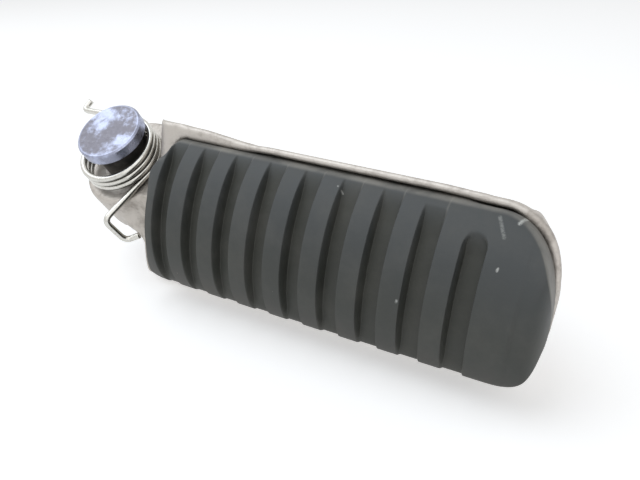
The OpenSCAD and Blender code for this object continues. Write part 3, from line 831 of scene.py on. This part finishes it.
def speckle_group():
    """Small scattered specks: a share of the cells of a Voronoi pattern, faded by the distance."""
    inputs = [("Vector", "v", None), ("Scale", "f", 400.0), ("Share", "f", 0.1), ("Size", "f", 0.25)]
    group, gin, gout = new_group("Specks", inputs)
    t = Tree(group)
    cells = t.add("TexVoronoi", {"Vector": gin.outputs["Vector"], "Scale": gin.outputs["Scale"]})
    split = t.add("SeparateColor", {"Color": cells.outputs["Color"]})
    chosen = t.math("LESS_THAN", split.outputs[0], gin.outputs["Share"])
    near = t.math("SUBTRACT", gin.outputs["Size"], cells.outputs["Distance"])
    near = t.add("Clamp", {"Value": t.math("MULTIPLY", near, 8.0)}).outputs[0]
    t.links.new(t.math("MULTIPLY", near, chosen), gout.inputs["Mask"])
    return group


def scuff_group():
    """A scuff: 1 near the line between two points, broken up by a fine pattern, and 0 beyond its width."""
    inputs = [("Vector", "v", None), ("Start", "v", None), ("End", "v", None), ("Width", "f", 0.0005)]
    group, gin, gout = new_group("Scuff", inputs)
    t = Tree(group)
    ray = t.vector("SUBTRACT", gin.outputs["Vector"], gin.outputs["Start"])
    line = t.vector("SUBTRACT", gin.outputs["End"], gin.outputs["Start"])
    along = t.vector("DOT_PRODUCT", ray, line, "Value")
    whole = t.vector("DOT_PRODUCT", line, line, "Value")
    share = t.add("Clamp", {"Value": t.math("DIVIDE", along, whole)}).outputs[0]
    nearest = t.add("VectorMath", {0: line, "Scale": share}, operation="SCALE").outputs["Vector"]
    off = t.vector("SUBTRACT", ray, nearest)
    near = t.math("DIVIDE", t.length(off), gin.outputs["Width"])
    mask = t.ramp(near, 1.0, 0.3)
    grain = t.noise(gin.outputs["Vector"], scale=2600.0, detail=3.0, rough=0.6)
    broken = t.ramp(grain, 0.38, 0.55, 0.35, 1.0)
    t.links.new(t.math("MULTIPLY", mask, broken), gout.inputs["Mask"])
    return group


def surface(name):
    """A new material: its tree, its Principled shader and its Object coordinates."""
    material = bpy.data.materials.new(name)
    material.use_nodes = True
    tree = material.node_tree
    tree.nodes.clear()
    t = Tree(tree)
    shader = t.add("BsdfPrincipled")
    t.add("OutputMaterial", {"Surface": shader.outputs["BSDF"]})
    place = t.add("TexCoord").outputs["Object"]
    return t, shader, place


def bump(t, shader, height, strength, distance):
    """Joins a height to the shader's normal."""
    node = t.add("Bump", {"Height": height, "Strength": strength, "Distance": distance})
    t.links.new(node.outputs["Normal"], shader.inputs["Normal"])


def make_rubber(f, specks, scuff):
    """Worn black rubber: grey-green tops with a painted bluish sheen towards the front, browner groove
    floors, faint mottling, dusty specks, scuffs, and painted highlights on the rib edges and along the front
    edge.
    """
    t, shader, place = surface("worn_rubber")
    mottle = t.noise(place, scale=90.0, detail=5.0, rough=0.6)
    fine = t.noise(place, scale=1500.0, detail=3.0, rough=0.6)
    across = t.add("SeparateXYZ", {"Vector": place}).outputs["Y"]
    # Painted bluish sheen of the window light, rising towards the front of the rib tops.
    top = t.mix(t.ramp(across, -6 * MM, 12 * MM, 0.0, 0.8), rgba(f.rubber), rgba(f.rubber_painted_sheen))
    top = t.mix(t.ramp(across, -8 * MM, -17 * MM, 0.0, 0.8), top, rgba(f.rubber_low))
    base = t.mix(t.attribute("groove"), top, rgba(f.rubber_floor))
    dust_and_highlight = t.add("Group", {"Vector": place, "Scale": 560.0, "Share": 0.012, "Size": 0.14}, node_tree=specks)
    # Mixed towards the pale tint: a painted highlight on the rib edges, a painted highlight along the front
    # edge broken up by the mottling, then the faint mottling and the dusty specks.
    for share in (
        t.math("MULTIPLY", t.attribute("edge"), 0.16),
        t.math("MULTIPLY", t.attribute("lip_highlight"), t.ramp(mottle, 0.3, 0.6, 0.15, 0.5)),
        t.ramp(mottle, 0.35, 0.75, 0.0, 0.08),
        t.math("MULTIPLY", dust_and_highlight.outputs["Mask"], 0.55),
    ):
        base = t.mix(share, base, rgba(f.dust_and_highlight))
    for start, end, width, strength in SCUFFS:
        inputs = {"Vector": place, "Start": Vector(start) * MM, "End": Vector(end) * MM, "Width": width * MM}
        mark = t.add("Group", inputs, node_tree=scuff)
        base = t.mix(t.math("MULTIPLY", mark.outputs["Mask"], strength), base, SCUFF_COLOUR)
    t.links.new(base, shader.inputs["Base Color"])
    rough = t.ramp(mottle, 0.3, 0.7, 0.50, 0.62)
    t.links.new(rough, shader.inputs["Roughness"])
    shader.inputs["Specular IOR Level"].default_value = 0.5
    bump(t, shader, fine, 0.12, 0.00015)


def make_cast(f):
    """Blasted cast aluminium: warm grey, soft stains, fine pitting, lighter sharp edges and darker hollows.
    """
    t, shader, place = surface("blasted_aluminium")
    broad = t.noise(place, scale=70.0, detail=5.0, rough=0.6)
    grain = t.noise(place, scale=2200.0, detail=3.0, rough=0.7)
    small = t.noise(place, scale=420.0, detail=5.0, rough=0.65)
    stain = t.ramp(t.math("MULTIPLY", broad, small), 0.20, 0.36, 0.0, 0.75)
    base = t.mix(stain, rgba(f.cast), rgba(f.cast_dark))
    point = t.add("NewGeometry").outputs["Pointiness"]
    # Lighter where the surface is sharply convex and darker in the hollows, after the pointiness.
    base = t.mix(t.ramp(point, 0.52, 0.6, 0.0, 0.6), base, rgba(f.cast_light))
    base = t.mix(t.ramp(point, 0.485, 0.42, 0.0, 0.6), base, rgba(f.cast_dark))
    t.links.new(base, shader.inputs["Base Color"])
    shader.inputs["Metallic"].default_value = 0.85
    t.links.new(t.ramp(grain, 0.3, 0.7, 0.42, 0.56), shader.inputs["Roughness"])
    bump(t, shader, t.math("ADD", grain, small), 0.5, 0.00016)


def make_zinc(f):
    """Zinc plate: lilac grey metal under patches of whitish hazing mixed with a painted bluish reflection of
    the window light, which thicken round the pin's head.
    """
    t, shader, place = surface("zinc_plate")
    patch = t.noise(place, scale=160.0, detail=6.0, rough=0.65)
    fine = t.noise(place, scale=900.0, detail=4.0, rough=0.6)
    # Patches of real hazing, carrying the painted bluish reflection of the window light as well.
    haze_and_reflection = t.ramp(patch, 0.44, 0.62, 0.05, 0.9)
    base = t.mix(haze_and_reflection, rgba(f.zinc), rgba(f.zinc_haze_and_reflection))
    radius = t.length(t.vector("CROSS_PRODUCT", place, HINGE_AXIS))
    base = t.mix(t.ramp(radius, 8.1 * MM, 8.5 * MM, 0.0, 0.4), base, rgba(f.zinc_haze_and_reflection))
    t.links.new(base, shader.inputs["Base Color"])
    shader.inputs["Metallic"].default_value = 0.9
    t.links.new(t.ramp(fine, 0.3, 0.7, 0.24, 0.42), shader.inputs["Roughness"])
    bump(t, shader, fine, 0.15, 0.0001)


def make_wire(f):
    """Bright spring wire with faint drawing marks and shaded undersides in the coil."""
    t, shader, place = surface("bright_wire")
    marks = t.noise(place, scale=1200.0, detail=4.0, rough=0.6)
    base = t.mix(t.ramp(marks, 0.45, 0.8, 0.0, 0.45), rgba(f.wire), rgba(f.cast_dark))
    base = t.mix(t.ramp(t.attribute("underside"), 0.25, 0.75, 0.0, 0.95), base, WIRE_SHADE)
    t.links.new(base, shader.inputs["Base Color"])
    shader.inputs["Metallic"].default_value = 1.0
    t.links.new(t.ramp(marks, 0.3, 0.7, 0.12, 0.26), shader.inputs["Roughness"])
    bump(t, shader, marks, 0.1, 0.00005)


def make_steel(f):
    """Plain oiled steel."""
    t, shader, place = surface("plain_steel")
    marks = t.noise(place, scale=500.0, detail=4.0, rough=0.6)
    base = t.mix(t.ramp(marks, 0.4, 0.8, 0.0, 0.4), rgba(f.steel), rgba(f.cast_dark))
    t.links.new(base, shader.inputs["Base Color"])
    shader.inputs["Metallic"].default_value = 0.85
    t.links.new(t.ramp(marks, 0.3, 0.7, 0.35, 0.5), shader.inputs["Roughness"])
    bump(t, shader, marks, 0.15, 0.0001)


class FOOTPEG_OT_materials(bpy.types.Operator):
    """Makes every finish"""

    bl_idname = "footpeg.materials"
    bl_label = "Finishes"

    def execute(self, context):
        f = context.scene.footpeg_finish
        make_rubber(f, speckle_group(), scuff_group())
        make_cast(f)
        make_zinc(f)
        make_wire(f)
        make_steel(f)
        return {"FINISHED"}


# Stage


def lamp(name, offset, power):
    """A square area lamp, placed and aimed from the middle of the peg."""
    data = bpy.data.lights.new(name, "AREA")
    data.shape = "SQUARE"
    data.size = LAMP_SIZE
    data.energy = power
    obj = add_object(name, data)
    middle = (Vector(CAD_BOX[0]) + Vector(CAD_BOX[1])) / 2
    place = middle + Vector(offset)
    obj.location = place
    obj.rotation_euler = (middle - place).to_track_quat("-Z", "Y").to_euler()
    return obj


def square_to(direction, axis):
    """The direction, turned square to the axis."""
    return (direction - direction.dot(axis) * axis).normalized()


def make_floor_material(glow):
    """White floor: it keeps the shadow, glows white for the camera and can't be seen from below."""
    material = bpy.data.materials.new("studio_floor")
    material.use_nodes = True
    material.node_tree.nodes.clear()
    t = Tree(material.node_tree)
    paint = t.add("BsdfDiffuse", {"Color": FLOOR_PAINT})
    light = t.add("Emission", {"Color": WHITE, "Strength": t.math("MULTIPLY", t.seen(), glow)})
    both = t.add("AddShader", {0: paint.outputs[0], 1: light.outputs[0]})
    clear = t.add("BsdfTransparent")
    side = t.add("NewGeometry").outputs["Backfacing"]
    mixed = t.add("MixShader", {0: side, 1: both.outputs[0], 2: clear.outputs[0]})
    t.add("OutputMaterial", {"Surface": mixed.outputs[0]})
    return material


def make_floor(s):
    """The peg lies on its rear side, so the floor stands behind it and leans with the camera's level."""
    up = Vector(s.floor_up).normalized()
    across = square_to(Vector((1.0, 0.0, 0.0)), up)
    along = up.cross(across)
    lowest = min((read_points(bpy.data.objects[name].data) @ np.array(up)).min()
                 for name in ("casting_body", "pad_rubber"))
    corners = [up * float(lowest) + across * a * FLOOR_REACH + along * b * FLOOR_REACH
               for a, b in ((-1, -1), (1, -1), (1, 1), (-1, 1))]
    mesh = bpy.data.meshes.new("floor")
    mesh.from_pydata([tuple(c) for c in corners], [], [(0, 1, 2, 3)])
    floor = add_object("floor", mesh)
    floor.data.materials.append(make_floor_material(s.floor_glow))


def make_world(s):
    """White for the camera, and dimmer as light on the object."""
    world = bpy.data.worlds.new("studio")
    bpy.context.scene.world = world
    world.use_nodes = True
    world.node_tree.nodes.clear()
    t = Tree(world.node_tree)
    level = t.add("MapRange", {"Value": t.seen(), "To Min": s.world_level, "To Max": 1.0}).outputs["Result"]
    shade = t.add("Background", {"Color": WHITE, "Strength": level})
    t.add("OutputWorld", {"Surface": shade.outputs[0]})


def make_camera(s):
    """The camera that was fitted to the photo."""
    data = bpy.data.cameras.new("camera")
    data.lens = s.focal
    data.sensor_width = SENSOR_WIDTH
    data.clip_start = CLIP_START
    camera = add_object("camera", data)
    back = Vector(s.camera_back).normalized()
    right = square_to(Vector(s.camera_right), back)
    turned = Matrix((right, back.cross(right), back)).transposed().to_4x4()
    camera.matrix_world = Matrix.Translation(s.camera_place) @ turned
    bpy.context.scene.camera = camera


class FOOTPEG_OT_stage(bpy.types.Operator):
    """Sets the floor, the lamps, the world and the camera"""

    bl_idname = "footpeg.stage"
    bl_label = "Stage"

    def execute(self, context):
        s = context.scene.footpeg_stage
        make_floor(s)
        window = lamp("window", KEY_PLACE, s.key_power)
        window.data.color = s.window_tint
        lamp("fill", FILL_PLACE, s.fill_power)
        make_world(s)
        make_camera(s)
        context.scene.view_settings.view_transform = "Standard"
        return {"FINISHED"}


class FOOTPEG_PT_panel(bpy.types.Panel):
    """Lists the footpeg's steps"""

    bl_idname = "FOOTPEG_PT_panel"
    bl_label = "Motorcycle footpeg"
    bl_space_type = "VIEW_3D"
    bl_region_type = "UI"
    bl_category = "Footpeg"

    def draw(self, context):
        for operator in OPERATORS:
            self.layout.operator(operator.bl_idname)
        for group in SETTINGS:
            settings = getattr(context.scene, group)
            box = self.layout.box()
            for key in settings.bl_rna.properties.keys():
                if key not in ("rna_type", "name"):
                    box.prop(settings, key)


OPERATORS = (FOOTPEG_OT_materials, FOOTPEG_OT_pad, FOOTPEG_OT_spring, FOOTPEG_OT_casting, FOOTPEG_OT_hardware,
             FOOTPEG_OT_stage)
SETTINGS = {
    "footpeg_pad": FootpegPadSettings,
    "footpeg_spring": FootpegSpringSettings,
    "footpeg_casting": FootpegCastingSettings,
    "footpeg_finish": FootpegFinishSettings,
    "footpeg_stage": FootpegStageSettings,
}


def register():
    """Registers the settings, the operators and the panel."""
    for name, group in SETTINGS.items():
        bpy.utils.register_class(group)
        setattr(bpy.types.Scene, name, PointerProperty(type=group))
    for operator in OPERATORS:
        bpy.utils.register_class(operator)
    bpy.utils.register_class(FOOTPEG_PT_panel)


def unregister():
    """Takes them out again."""
    bpy.utils.unregister_class(FOOTPEG_PT_panel)
    for operator in reversed(OPERATORS):
        bpy.utils.unregister_class(operator)
    for name, group in SETTINGS.items():
        delattr(bpy.types.Scene, name)
        bpy.utils.unregister_class(group)


def main():
    """Registers the classes and builds every piece in order."""
    register()
    bpy.ops.footpeg.materials()
    bpy.ops.footpeg.pad()
    bpy.ops.footpeg.spring()
    bpy.ops.footpeg.casting()
    bpy.ops.footpeg.hardware()
    bpy.ops.footpeg.stage()


if __name__ == "__main__":
    main()
